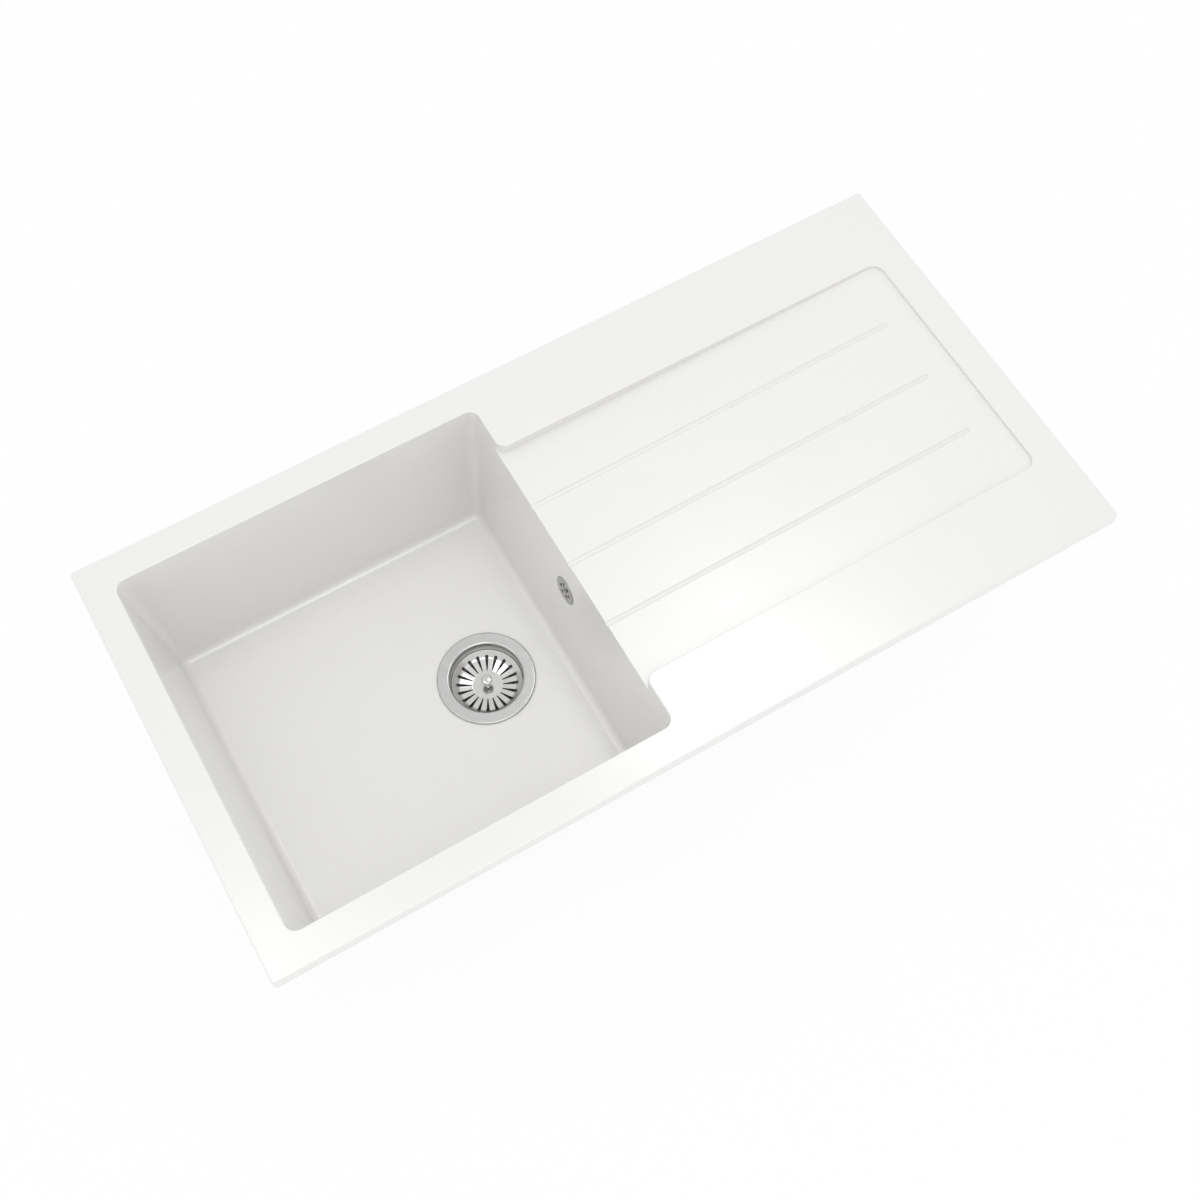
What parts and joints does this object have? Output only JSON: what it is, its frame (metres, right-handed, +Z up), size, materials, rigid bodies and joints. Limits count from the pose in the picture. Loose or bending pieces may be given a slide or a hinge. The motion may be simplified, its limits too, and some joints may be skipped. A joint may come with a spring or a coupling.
{
  "type": "kitchen sink",
  "caption": "White composite inset kitchen sink with a square bowl, a sloping grooved drainer, a lift-out basket strainer and a piped overflow.",
  "frame": {"origin": "centre of the rim's seat, in the plane where the rim rests on the worktop", "axes": "+X along the sink from the bowl to the drainer, +Y from the front edge to the back edge, +Z up"},
  "size_m": [1, 0.5, 0.288],
  "materials": {
    "composite": "smooth white quartz composite, satin",
    "polished_steel": "polished stainless steel sheet",
    "plain_steel": "plain turned steel",
    "brass": "turned brass",
    "rubber": "black rubber",
    "moulded_plastic": "grey moulded polypropylene",
    "pipe_plastic": "grey extruded pipe",
    "nut_plastic": "dark moulded plastic"
  },
  "bodies": {
    "sink": {"sink_body": "composite", "strainer_flange": "polished_steel", "flange_gasket": "rubber", "waste_gasket": "rubber", "waste_body": "moulded_plastic", "outlet_tube": "moulded_plastic", "clamp_bolt": "plain_steel", "clamp_insert": "brass", "overflow_cover": "polished_steel", "overflow_screw": "polished_steel", "overflow_gasket": "rubber", "overflow_elbow": "moulded_plastic", "overflow_insert": "brass", "overflow_pipe": "pipe_plastic", "upper_pipe_nut": "nut_plastic", "lower_pipe_nut": "nut_plastic", "upper_pipe_seal": "rubber", "lower_pipe_seal": "rubber"},
    "basket": {"strainer_basket": "polished_steel", "basket_knob": "polished_steel", "basket_stem": "plain_steel", "basket_seal": "rubber", "seal_washer": "plain_steel", "stem_nut": "plain_steel", "stem_ring": "rubber"}
  },
  "joints": [
    {"name": "basket_lift", "type": "slide", "parent": "sink", "child": "basket", "axis": [0, 0, 1], "range_m": [0, 0.24]}
  ]
}
